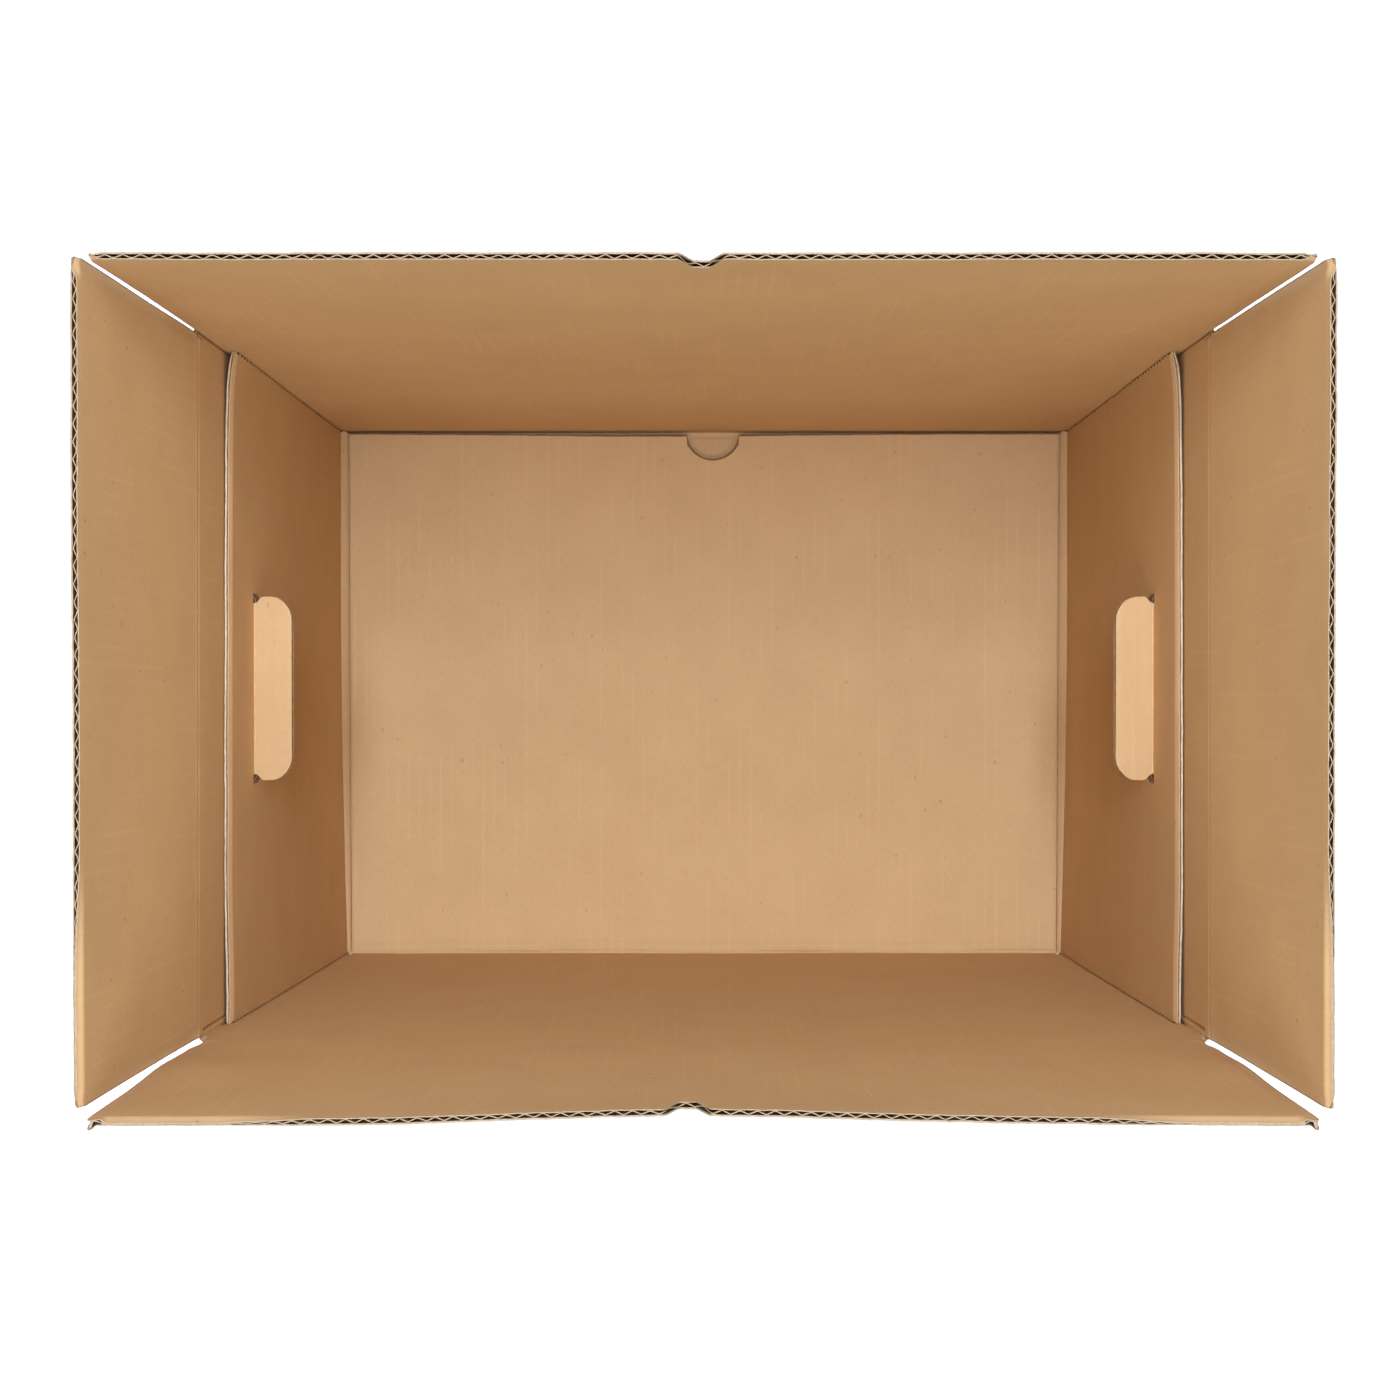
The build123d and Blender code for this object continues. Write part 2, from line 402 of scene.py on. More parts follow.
def fibre_material(name, dark, light):
    """Bare paper fibre: the medium inside the board, or a sheet's cut edge."""
    material, tree, shader = nodes_of(name)
    colour = ramp(tree, noise(tree, 700.0, 260.0, 3.0, 0.6), (0.28, dark), (0.74, light))
    tree.links.new(colour, shader.inputs["Base Color"])
    shader.inputs["Roughness"].default_value = 0.95
    shader.inputs["Specular IOR Level"].default_value = 0.1
    tooth = add_node(tree, "ShaderNodeBump", Strength=0.6, Distance=0.0001)
    tree.links.new(noise(tree, 2600.0, 1300.0, 2.0, 0.6), tooth.inputs["Height"])
    tree.links.new(tooth.outputs["Normal"], shader.inputs["Normal"])
    return material


kraft = kraft_material()
# The medium's own dark brown, which also serves as painted shade on the top flaps' cut sides and the base
# panel's free edge.
fluting_and_shade = fibre_material("fluting_medium_and_shade", (0.21, 0.112, 0.050), (0.34, 0.195, 0.096))
cut_edge = fibre_material("cut_board_edge", (0.28, 0.205, 0.128), (0.41, 0.315, 0.212))
torn_edge = fibre_material("torn_board_edge", (0.46, 0.35, 0.235), (0.68, 0.55, 0.40))


# Hand holes, in the end walls and in the wings that line them

class Hole:
    """A hand hole, straight along its top, with round lower corners."""

    rim = 1.0       # width of the columns beside the hole

    def __init__(self, half, low, top, radius):
        self.half, self.low, self.top, self.radius = half, low, top, radius
        self.straight = half - radius   # half the straight part of the lower edge
        self.shoulder = low + radius    # height where the round corners end

    def foot(self, y):
        """Height of the lower edge."""
        reach = np.clip(np.abs(y) - self.straight, 0.0, self.radius)
        return self.shoulder - np.sqrt(self.radius**2 - reach**2)

    def columns(self, step):
        """Runs of columns from one side of the hole to the other."""
        half, straight = self.half, self.straight
        return (-half, 1.0), (-straight, 0.8), (straight, step), (half, 0.8), (half + self.rim, 1.0)


WALL_HOLE = Hole(half=48.0, low=228.0, top=252.0, radius=14.0)
WING_HOLE = Hole(half=46.6, low=229.4, top=GRIP_Z + 1.5, radius=12.6)


# Walls: one ring of board folded at the four upright corners

CORNER = 4          # mark of the ring's columns in a corner. Those on a wall have its number, 0 to 3.
FINE_Y = 152.0      # where the end walls' columns get finer towards the corners


def wall_ring():
    """The ring's columns in plan: outer place, way inwards, wall, place along it and share of a fold."""
    corner_x, corner_y = OUTER_X - FOLD, OUTER_Y - FOLD
    corner_steps = 8
    long_runs = runs(
        -corner_x, (-SLOT_X, 1.2), (-FRONT_FOLD, 1.2), (FRONT_FOLD, 8.0), (SLOT_X, 1.2), (corner_x, 1.2),
    )
    end_runs = runs(
        -corner_y, (-END_HALF, 1.0), (-FINE_Y, 0.4), (-WALL_HOLE.half - WALL_HOLE.rim, 7.0),
        *WALL_HOLE.columns(6.0), (FINE_Y, 7.0), (END_HALF, 0.4), (corner_y, 1.0),
    )
    columns = []
    for side in range(4):
        normal = np.array(((0, 1), (-1, 0), (0, -1), (1, 0))[side], float)
        along = np.array((normal[1], -normal[0]))
        places, reach = (long_runs, OUTER_Y) if side % 2 == 0 else (end_runs, OUTER_X)
        for place in places:
            columns.append((along * place - normal * reach, normal, side, place, 0.0))
        centre = np.array(((1, -1), (1, 1), (-1, 1), (-1, -1))[side], float) * (corner_x, corner_y)
        for share in np.linspace(0.0, 1.0, corner_steps + 1)[1:-1]:
            turn = (side - 1 + share) * pi / 2.0
            away = np.array((np.cos(turn), np.sin(turn)))
            columns.append((centre + away * FOLD, -away, CORNER, 0.0, np.sin(pi * share) ** 2))
    return [np.array(values) for values in zip(*columns)]


def build_walls():
    """The ring, with slots at the front corners, and with hand holes whose cut edges show the flutes."""
    outer, inward, wall, offset, fold = wall_ring()
    hole, lip = WALL_HOLE, 12.0
    end_seam, long_seam = END_CREASE - SEAM, LONG_CREASE - SEAM
    corner_top = END_CREASE - FREE
    steps = np.linalg.norm(np.diff(outer, axis=0, append=outer[:1]), axis=1)
    round_box = np.concatenate([[0.0], np.cumsum(steps)[:-1]])

    levels = runs(
        CORNER_FOOT, (SLIT_TOP, 2.9), (LOW_SEAM, 4.1), (hole.low - lip - 6.0, 12.0), (hole.low - lip, 6.0),
    )
    foot_row = len(levels)
    levels = np.concatenate([
        levels, [hole.shoulder, hole.top, hole.top + lip],
        runs(hole.top + 20.0, (SLOT_Z, 10.0), (end_seam, 3.0), (long_seam, 3.3), (corner_top, 4.3)),
    ])
    u, v = np.meshgrid(np.arange(len(outer)), levels, indexing="ij")
    at_hole = (wall % 2 == 1) & (np.abs(offset) <= hole.half)
    v[:, foot_row] = np.where(at_hole, hole.foot(offset), hole.shoulder)
    v[:, foot_row - 1] = v[:, foot_row] - lip

    def place(i, z, w):
        plan = outer[i] + inward[i] * w[..., None]
        return np.concatenate([plan, z[..., None]], -1)

    def faces(i, z):
        """Dented inside each corner, and above the wings at the front mostly in the end wall beside it."""
        dent_y, dent_width, dent_depth = -154.3, 0.6, 2.0
        deep = 1.2 + 0.6 * smooth((z - 280.0) / 50.0)
        y = outer[i][..., 1]
        above = smooth((z - 290.0) / 12.0) * (y < 0.0)
        dent = dent_depth * above * (wall[i] % 2 == 1) * bump(y, dent_y, dent_width)
        return BOARD - deep * fold[i] * (1.0 - 0.8 * above) - dent, 0.25 * fold[i]

    panel = Panel(place, faces, 0.0)
    panel.flat = lambda i, z: np.stack([round_box[i], z], -1)

    follower = np.roll(np.arange(len(outer)), -1)
    cell_wall = np.where(wall == wall[follower], wall, CORNER)[:, None]
    cell_y = ((outer[:, 1] + outer[follower, 1]) / 2.0)[:, None]
    middle = np.abs((offset + offset[follower]) / 2.0)[:, None]
    z = ((levels[1:] + levels[:-1]) / 2.0)[None, :]
    on_front = cell_wall == 0
    on_long, on_end = on_front | (cell_wall == 2), (cell_wall == 1) | (cell_wall == 3)
    front_foot = np.where(middle < FRONT_FOLD, LOW_SEAM, SLIT_TOP)
    other_foot = np.full_like(middle, LOW_SEAM)
    bottom = np.select([on_front, on_long | on_end], [front_foot, other_foot], CORNER_FOOT)
    long_top = np.full_like(middle, long_seam)
    end_top = np.where(middle < END_HALF, end_seam, END_CREASE)
    top = np.select([on_long, on_end], [long_top, end_top], END_CREASE)
    slot = (cell_y < -END_HALF) & ~(on_long & (middle < SLOT_X))
    top = np.where(slot, SLOT_Z, top)
    rows = np.arange(len(levels) - 1)[None, :]
    opening = on_end & (middle < hole.half) & (rows == foot_row)
    near = on_end & (middle < hole.half + hole.rim) & (np.abs(rows - foot_row) <= 1)
    kept = (z > bottom) & (z < top) & ~opening
    core = kept & ~near & (z > np.maximum(bottom, SLIT_TOP)) & (z < long_seam)

    sheet = Sheet()
    sheet.board(panel, u, v, kept, core, closed=True, rims=(FLUTES_AND_SHADE, FLUTES_AND_SHADE))
    fine = runs(-hole.straight, (hole.straight, WAVE_STEP))
    for end in (-1.0, 1.0):
        def end_place(y, height, w):
            return np.stack([end * (OUTER_X - w), y, height], -1)

        end_panel = Panel(end_place, plain_faces, 0.0)
        for low, high in ((hole.low - lip, hole.low - SUNK), (hole.top + SUNK, hole.top + lip)):
            y, height = np.meshgrid(fine, np.linspace(low, high, 3), indexing="ij")
            sheet.wave(end_panel, y, height)
    walls = sheet.piece("walls")
    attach(walls, "carton")
    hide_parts("carton")


# Top flaps: each bends with its crease, and reaches from a little below it to its tip

CORNER_RADIUS = 3.0     # of a tip's corners
NOTCH_HALF = 8.7        # half-width of a finger notch
NOTCH_SLOPE = 5.6       # width of its sloping sides
NOTCH_DEPTH = 15.0
NOTCH_ROOM = 12.0       # half-width of the finer columns at a notch
OPEN_TIP = 30.0         # length of the tip where the flutes are open
FOLLOWING = 18.0        # length of the tip whose rows follow its line
SHADED_SIDE = 0.45         # width of the strip along each cut side whose face has the fluting's dark colour, as painted shade of the crushed edge
FINE_SIDE = 8.0         # width of the finer columns along each side
ROLL = 1.5              # how far the inner liner rolls over where the tip is pressed shut


def build_flap(
    node, joint, along, inward, half, sides, lean, bow, score, shut, seed,
    notch=None, slot=0.0, free=FREE, peel=0.0,
):
    """A top flap that bends at its crease.

    Half: half its width at the foot. Sides: half-widths at crease and tip, for each end.
    Lean: degrees outwards. Bow: how far it bends inwards. Score: depth of the crease's groove.
    Shut: lengths of the tip pressed shut, for each end. Notch: place of the finger notch.
    Slot: how far both ends draw in at the crease. Peel: how far the outer liner's corners stand off.
    Free: how far below the crease the first end starts to widen.
    """
    hinge, along, inward = np.array(hinges[joint]), np.array(along, float), np.array(inward, float)
    crease = hinge[2]
    tip = crease + FLAP
    high = tip - OPEN_TIP

    def edge(u):
        """The tip's line: eased corners, the finger notch and the roughness of a die cut."""
        over = np.clip(np.abs(u) - (half - CORNER_RADIUS), 0.0, CORNER_RADIUS)
        line = tip - (CORNER_RADIUS - np.sqrt(CORNER_RADIUS**2 - over**2))
        line = line + 0.16 * noise_line(u, 1.1, seed) + 0.22 * noise_line(u, 14.0, seed + 1)
        if notch is not None:
            depth = np.clip((NOTCH_HALF - np.abs(u - notch)) / NOTCH_SLOPE, 0.0, 1.0)
            line = line - NOTCH_DEPTH * (0.6 * depth + 0.4 * smooth(depth))
        return line

    def pressed(u):
        """How far the tip is pressed shut, from 0 to 1."""
        length = np.where(u < 0.0, *shut)
        return smooth((np.abs(u) - half + length) / (0.5 * length))

    def thick(u, v):
        """Liners, of which the outer one swells at the open tip."""
        return LINER, LINER + 0.3 * smooth((v - edge(u) + 2.5) / 2.5) * (1.0 - pressed(u))

    def faces(u, v):
        """Pressed along the cut sides, grooved at the crease, rolled over and uneven at the tip."""
        rise = v - crease
        press = 0.6 * smooth((np.abs(u) - (half - 7.0)) / 6.0) * smooth((rise + 3.0) / 8.0)
        groove = score * (1.0 + 0.5 * noise_line(u, 21.0, seed + 6))
        near_tip = smooth((v - edge(u) + 6.0) / 6.0)
        rolled = ROLL * pressed(u) * smooth((v - edge(u) + 4.0) / 4.0)
        if peel:
            rolled = rolled * (1.0 - smooth((np.abs(u) - half + 8.0) / 3.0))
        inner = BOARD - press - rolled - groove * (bump(rise, 0.0, 1.3) - 0.4 * bump(rise, 2.8, 1.2))
        inner = inner - near_tip * (0.15 - 0.12 * noise_line(u, 3.1, seed + 2))
        outer = press + 0.25 * bump(rise, 0.0, 1.6) + near_tip * (0.15 - 0.12 * noise_line(u, 3.3, seed + 3))
        return inner, outer

    def place(u, v, w):
        rise = v - crease
        share = np.clip(rise / FLAP, 0.0, 1.0)
        turn = radians(lean) * smooth((rise + SCORE) / (2.0 * SCORE))
        out = w * np.cos(turn) - rise * np.sin(turn) + bow(u / half, share)
        out = out + 0.3 * noise_field(u, v, 60.0, seed + 4) * smooth(rise / 30.0)
        corner = smooth((np.abs(u) - half + 4.5) / 3.0) * smooth((rise - FLAP + 8.0) / 7.0)
        out = out - peel * corner * (w < BOARD / 2.0)
        up = rise * np.cos(turn) + w * np.sin(turn)
        ends = [at_crease + (at_tip - at_crease) * share**3 for at_crease, at_tip in sides]
        wider = (np.where(u < 0.0, *ends) - half) * smooth((rise + np.where(u < 0.0, free, FREE)) / 2.0)
        reach = half + wider - slot * (1.0 - smooth(rise / 18.0))
        side = u * reach / half
        return hinge + side[..., None] * along + out[..., None] * inward + up[..., None] * UP

    middle = () if notch is None else ((notch - NOTCH_ROOM, 2.6), (notch + NOTCH_ROOM, 0.5))
    columns = runs(
        -half, (-half + SHADED_SIDE, SHADED_SIDE), (-half + FINE_SIDE, 1.0), *middle,
        (half - FINE_SIDE, 2.6), (half - SHADED_SIDE, 1.0), (half, SHADED_SIDE),
    )
    start = tip - FOLLOWING
    rows = runs(
        crease - SEAM, (crease - SCORE, 2.0), (crease + SCORE, 0.5), (crease + 18.0, 2.8),
        (high, 10.0), (start, 6.0), (tip - 5.0, 3.0), (tip, 1.0),
    )
    u, v = np.meshgrid(columns, rows, indexing="ij")
    v = np.where(v > start, start + (v - start) * (edge(u) - start) / (tip - start), v)

    sheet = Sheet()
    panel = Panel(place, faces, 700.0 * (seed % 7), thick=thick)
    # The outermost column on each side takes the fluting's dark colour: painted shade along the cut sides.
    face = np.full((len(columns) - 1, 1), KRAFT)
    face[[0, -1]] = FLUTES_AND_SHADE
    sheet.board(panel, u, v, every_cell(u), core_cells(u, rows, high), face=face)
    fine = runs(-half + INSET, (half - INSET, WAVE_STEP))
    u, share = np.meshgrid(fine, (0.0, 0.4, 0.8, 1.0), indexing="ij")
    ragged = 0.35 + 0.25 * noise_line(u, 2.3, seed + 5)
    sheet.wave(panel, u, high + (edge(u) - ragged - high) * share)
    for end, length in zip((-1.0, 1.0), shut):
        last = half - (6.0 if peel else INSET)
        u, share = np.meshgrid(end * runs(half - length, (last, 1.2)), (0.0, 0.5, 0.9, 1.0), indexing="ij")
        sunk = 0.2 + 7.0 * (1.0 - pressed(u))
        sheet.fill(panel, u, high + (edge(u) - sunk - high) * share)
    flap = sheet.piece(node + "_board")
    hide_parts(node)
    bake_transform(flap)


def front_bow(t, share):
    """The front flap leans in at its middle and out at its ends, which swell in half-way up."""
    swell = 1.2 * smooth((np.abs(t) - 0.75) / 0.2) * bump(share, 0.4, 0.18)
    return (-2.1 + 3.6 * bump(t, 0.0, 0.42)) * share**1.7 + swell


def even_bow(middle, change):
    """A bow that brings the tip in by middle, and by change more at its second end."""
    return lambda t, share: (middle + change * t) * share**1.7


# Base panel and bottom flaps: each leaves its wall over a rounded fold

def fold_place(origin, along, inward, low):
    """Where a sheet lies that comes down a wall and turns inwards at height low."""
    origin, along, inward = np.array(origin, float), np.array(along, float), np.array(inward, float)
    straight = LOW_SEAM - low - FOLD
    bend = (FOLD - BOARD / 2.0) * pi / 2.0

    def place(u, v, w):
        turn = np.clip((v - straight) / bend, 0.0, 1.0) * pi / 2.0
        radius = FOLD - w
        flat = np.maximum(v - straight - bend, 0.0)
        out = FOLD - radius * np.cos(turn) + flat
        up = LOW_SEAM - np.minimum(v, straight) - radius * np.sin(turn)
        return origin + u[..., None] * along + out[..., None] * inward + up[..., None] * UP

    return place, straight + bend


def score_x(y):
    """Half-length of the base panel, out to the score of its wing, which grows towards the back."""
    at_front, growth, front, depth = 214.5, 1.8, -154.0, 312.0
    return at_front + growth * (y - front) / depth


def build_base():
    """The base panel, from the foot of the front wall to its free edge with the thumb notch."""
    bare, turned = fold_place((0.0, -OUTER_Y, 0.0), (1, 0, 0), (0, 1, 0), FLOOR - BOARD)
    fold_y = -OUTER_Y + FOLD
    back = 156.5
    end = turned + back - fold_y
    opened = end - 44.0
    following = end - 22.0
    open_half = 213.0
    clearance = 0.2
    thumb_x, thumb_radius = 5.5, 15.8
    bevel = 1.1

    def thumb(u):
        """Depth of the thumb notch."""
        reach = np.clip(np.abs(u - thumb_x), 0.0, thumb_radius)
        return np.sqrt(thumb_radius**2 - reach**2)

    def limit(u):
        """The free edge, bowed away from the back wall, with its thumb notch."""
        return end - np.maximum(1.3 * bump(u, -30.0, 110.0), thumb(u)) + 0.12 * noise_line(u, 1.3, 34)

    def rim(u):
        """Reach of the crushed edge and of its band of painted shadow, longer where the notch runs steeply.
        """
        steep = np.clip(thumb_radius / np.maximum(thumb(u), 1.0), 1.0, 5.0)
        return bevel * np.where(np.abs(u - thumb_x) < thumb_radius, steep, 1.0)

    def place(u, v, w):
        """On its fold, a little uneven, with a front fold that wanders."""
        spot = bare(u, v, w)
        calm = smooth((v - turned) / 30.0) * smooth((FRONT_FOLD - np.abs(u)) / 25.0)
        spot[..., 2] += 0.3 * calm * noise_field(u, v, 75.0, 31)
        wander = 0.6 * noise_line(u, 46.0, 36) * bump(v, turned, 5.0)
        spot[..., 1] += wander * smooth((208.0 - np.abs(u)) / 20.0)
        return spot

    def faces(u, v):
        """Swollen along the front fold, pressed at the wings' scores and crushed at the free edge."""
        flat = v - turned
        wander = 0.8 * noise_line(u, 38.0, 32) + 0.35 * noise_line(u, 11.0, 33)
        swell = 0.75 + 0.35 * noise_line(u, 27.0, 35)
        inner = BOARD + swell * bump(flat, 1.4 + wander, 1.1) - 0.5 * bump(flat, 4.3 + wander, 1.6)
        inner = inner - 0.5 * smooth((np.abs(u) - (score_x(flat + fold_y) - 1.6)) / 1.4)
        inner = inner - 1.1 * smooth((v - limit(u) + rim(u)) / rim(u))
        return inner, np.zeros_like(u)

    # Columns are shares of the half-length, finer at both ends and at the notch's steep sides
    columns = runs(
        -1.0, (-0.995, 0.002), (-0.97, 0.004), (-0.05, 0.022), (-0.04, 0.0012), (-0.02, 0.003), (0.07, 0.009),
        (0.09, 0.0025), (0.1, 0.0012), (0.97, 0.022), (0.995, 0.004), (1.0, 0.002),
    )
    rows = runs(
        0.0, (turned - 4.0, 2.0), (turned + 12.0, 0.6), (opened, 9.0), (following, 5.5),
        (end - bevel, 3.0), (end, bevel / 3.0),
    )
    u, v = np.meshgrid(columns, rows, indexing="ij")
    on_wall = FRONT_FOLD - 1.5 * smooth(v / turned)
    half = np.where(v < turned, on_wall, score_x(v - turned + fold_y)) - clearance
    u = u * half
    free = following + (v - following) * (limit(u) - rim(u) - following) / (end - bevel - following)
    crushed = limit(u) - rim(u) * (end - v) / bevel
    v = np.where(v > end - bevel, crushed, np.where(v > following, free, v))
    # The crushed band along the free edge and the notch, and the cut edges, get the fluting's dark colour:
    # painted shadow of the gap under the edge.
    face = np.where(rows[1:] > end - bevel + 0.01, FLUTES_AND_SHADE, KRAFT)[None, :]
    sheet = Sheet()
    panel = Panel(place, faces, 300.0)
    core = core_cells(u, rows, opened)
    sheet.board(panel, u, v, every_cell(u), core, face=face, rims=(FLUTES_AND_SHADE, FLUTES_AND_SHADE))
    fine = runs(-open_half, (open_half, WAVE_STEP))
    u, share = np.meshgrid(fine, (0.0, 0.5, 0.95), indexing="ij")
    sheet.wave(panel, u, opened + (limit(u) - opened) * share)
    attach(sheet.piece("base_panel"), "carton")


def build_bottom_flap(name, origin, along, inward, low, half, length, shift):
    """A bottom flap under the base panel. Low: height of its underside. Length: beyond its fold."""
    place, turned = fold_place(origin, along, inward, low)
    end = turned + length
    opened = end - 12.0
    cut_side = 0.8

    def faces(u, v):
        return BOARD - 1.5 * bump(v, turned + 0.8, 2.2), np.zeros_like(u)

    columns = runs(-half, (-half + cut_side, cut_side), (half - cut_side, 9.0), (half, cut_side))
    rows = runs(0.0, (turned - 4.0, 3.0), (turned + 4.0, 0.8), (opened, 12.0), (end, 4.0))
    u, v = np.meshgrid(columns, rows, indexing="ij")
    sheet = Sheet()
    panel = Panel(place, faces, shift)
    sheet.board(panel, u, v, every_cell(u), core_cells(u, rows, opened))
    fine = runs(-half + INSET, (half - INSET, FLUTE / 8.0))
    u, v = np.meshgrid(fine, np.linspace(opened, end - SUNK, 3), indexing="ij")
    sheet.wave(panel, u, v)
    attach(sheet.piece(name), "carton")


# Wings: folded up from the base panel over a sloping strip, with the hand-hole tabs turned in

def wing_foot_x(y):
    """Inner face of a wing at its foot, which draws in towards the front."""
    at_back, draw, start, length = 220.2, 3.6, 68.0, 222.0
    return at_back - draw * (np.clip(start - y, 0.0, None) / length) ** 1.7


def wing_top_x(y, side):
    """Inner face of a wing at its top, which curls off the end wall at the back and a little at the front."""
    at_wall = 221.7
    back = np.clip(WING_HALF - y, 0.0, None)
    curl = 2.5 * np.exp(-back / 9.0) + 0.9 * np.exp(-back / 55.0) + 0.9 * smooth((-90.0 - y) / 55.0)
    return at_wall - 0.15 * (1.0 + side) - curl


def wing_x(y, z, side):
    """Inner face of a wing at a height."""
    share = np.clip((z - FLOOR - STRIP_RISE) / (WING_TOP - FLOOR - STRIP_RISE), 0.0, 1.0)
    return wing_foot_x(y) + (wing_top_x(y, side) - wing_foot_x(y)) * share**1.6


def rise(z):
    """Place up a wing's sheet of a height on it."""
    return z - FLOOR - STRIP_RISE + STRIP


def build_wing(name, side, seed):
    """A wing with its hand hole, from the base panel's score to its torn top."""
    hole = WING_HOLE
    top = rise(WING_TOP)

    def place(y, v, w):
        score, foot = score_x(y), wing_foot_x(y)
        drop = foot - score
        share = np.clip(v / STRIP, 0.0, 1.0)
        settle = (STRIP_RISE - drop) * (1.0 - smooth((v - STRIP) / 30.0))
        z = np.where(v < STRIP, FLOOR + drop * share, FLOOR + STRIP_RISE + v - STRIP - settle)
        x = np.where(v < STRIP, score + drop * share, wing_x(y, z, side))
        slope = radians(45.0) * (1.0 - smooth((v - STRIP + 1.0) / 2.0)) + radians(22.5) * (1.0 - smooth(v))
        x = x + (BOARD - w) * np.cos(slope)
        z = z - (BOARD - w) * np.sin(slope)
        fray = np.where(w < BOARD / 2.0, 0.5, 0.15) * noise_line(y, 1.6, seed)
        fray = fray + 0.3 * noise_line(y, 19.0, seed + 2)
        z = z + smooth((v - top + 1.5) / 1.5) * fray
        return np.stack([side * x, y, z], -1)

    def faces(y, v):
        """Pressed at both ends and the top, scored along the strip, with a rounded inner top edge."""
        press = 0.25 * smooth((np.abs(y) - (WING_HALF - 5.0)) / 5.0) + 0.2 * smooth((v - top + 4.0) / 4.0)
        inner = BOARD - press - 0.45 * bump(v, STRIP, 0.9) - 0.5 * bump(v, 0.0, 0.9)
        return inner - 0.8 * smooth((v - top + 3.5) / 3.5), press

    def thick(y, v):
        """Liners, of which the outer one swells at the torn top."""
        end = smooth((np.abs(y) - (WING_HALF - 5.0)) / 5.0)
        return LINER, LINER + 0.45 * (1.0 - 0.6 * end) * smooth((v - top + 2.0) / 2.0)

    columns = runs(-WING_EDGE, (-hole.half - hole.rim, 6.0), *hole.columns(5.0), (WING_EDGE, 5.0))
    rows = runs(
        0.0, (1.5, 0.5), (STRIP - 1.5, 1.5), (STRIP + 1.5, 0.5), (STRIP + 10.0, 3.0), (rise(218.0), 10.0),
        (rise(226.0), 8.0),
    )
    foot_row = len(rows)
    rows = np.concatenate([
        rows, [rise(hole.shoulder), rise(hole.top), rise(hole.top) + hole.rim],
        runs(rise(hole.top) + 8.0, (top - 5.0, 8.0), (top - 1.6, 1.7), (top, 0.8)),
    ])
    y, v = np.meshgrid(columns, rows, indexing="ij")
    v[:, foot_row] = rise(np.where(np.abs(columns) <= hole.half, hole.foot(columns), hole.shoulder))
    v[:, foot_row - 1] = v[:, foot_row] - hole.rim
    middle = np.abs((columns[1:] + columns[:-1]) / 2.0)[:, None]
    cell = np.arange(len(rows) - 1)[None, :]
    kept = ~((middle < hole.half) & (cell == foot_row))
    near = (middle < hole.half + hole.rim) & (np.abs(cell - foot_row) <= 1)
    core = kept & ~near & (rows[1:] < top - 1.5)[None, :]
    sheet = Sheet()
    panel = Panel(place, faces, 500.0 + 400.0 * side, flutes_along_v=False, thick=thick)
    sheet.board(panel, y, v, kept, core, rims=(KRAFT, TORN))

    # Scalloped edges at both ends, with the flutes open below their upper corners
    opened = top - 9.0
    rows = runs(0.0, (1.5, 0.5), (STRIP + 2.5, 0.8), (top - 1.6, FLUTE / 5.0), (top, 0.8))
    for end, dip in ((-1.0, 0.9), (1.0, 1.3)):
        share, v = np.meshgrid(np.array((0.0, 0.4, 0.7, 0.85, 0.95, 1.0)), rows, indexing="ij")
        scallop = dip * (0.5 + 0.5 * np.cos(2.0 * pi * v / FLUTE)) ** 1.5
        scallop = scallop + 0.15 * noise_line(v, 2.1, seed + 3)
        y = end * (WING_EDGE + (WING_HALF - scallop - WING_EDGE) * share)
        kept = every_cell(y)
        core = kept & (rows[1:] > opened) & (rows[1:] < top - 1.5)
        sheet.board(panel, y, v, kept, core, rims=((FLUTES_AND_SHADE, KRAFT), (FLUTES_AND_SHADE, TORN)))
        deep = np.array((WING_HALF - 1.7, WING_HALF - 4.0, WING_EDGE))
        y, v = np.meshgrid(end * deep, runs(1.0, (opened, WAVE_STEP)), indexing="ij")
        sheet.wave(panel, y, v)
    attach(sheet.piece(name), "carton")


def build_tab(name, node, side, seed):
    """The hand hole's tab, cut on three sides and bent in about the top of the hole."""
    depth, radius = 20.0, 12.0
    widest, neck = 44.9, 3.0
    core_end = 19.5

    def half(v):
        """Half-width, with a neck at the crease and round corners."""
        end = np.clip(v - (depth - radius), 0.0, radius)
        return widest - neck * (1.0 - smooth(v / 4.5)) - (radius - np.sqrt(radius**2 - end**2))

    def place(y, v, w):
        bent = smooth((v + 0.7) / 1.4)
        turn, lift = radians(GRIP_ANGLE) * bent, w - BOARD
        out = v * np.sin(turn) + lift * np.cos(turn) + 0.6 * bent
        up = -v * np.cos(turn) + lift * np.sin(turn)
        return np.stack([side * (wing_x(y, GRIP_Z, side) - out), y, GRIP_Z + up], -1)

    def faces(y, v):
        press = 0.5 * smooth((v - (depth - 2.5)) / 2.5) + 0.4 * smooth((np.abs(y) - half(v) + 2.5) / 2.5)
        return BOARD - press * 0.25, press

    columns = runs(-1.0, (-0.985, 0.015), (-0.9, 0.02), (0.9, 0.06), (0.985, 0.02), (1.0, 0.015))
    rows = runs(-1.4, (1.4, 0.2), (5.0, 0.6), (8.0, 1.0), (18.0, 1.4), (core_end, 0.5), (depth, 0.25))
    share, v = np.meshgrid(columns, rows, indexing="ij")
    y = share * half(v)
    y = y + 0.12 * noise_line(v, 1.7, seed) * smooth((np.abs(share) - 0.9) / 0.1)
    sheet = Sheet()
    panel = Panel(place, faces, 1500.0 + 300.0 * side, flutes_along_v=False)
    sheet.board(panel, y, v, every_cell(y), core_cells(y, rows, core_end))
    tab = sheet.piece(name)
    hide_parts(node)
    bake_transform(tab)


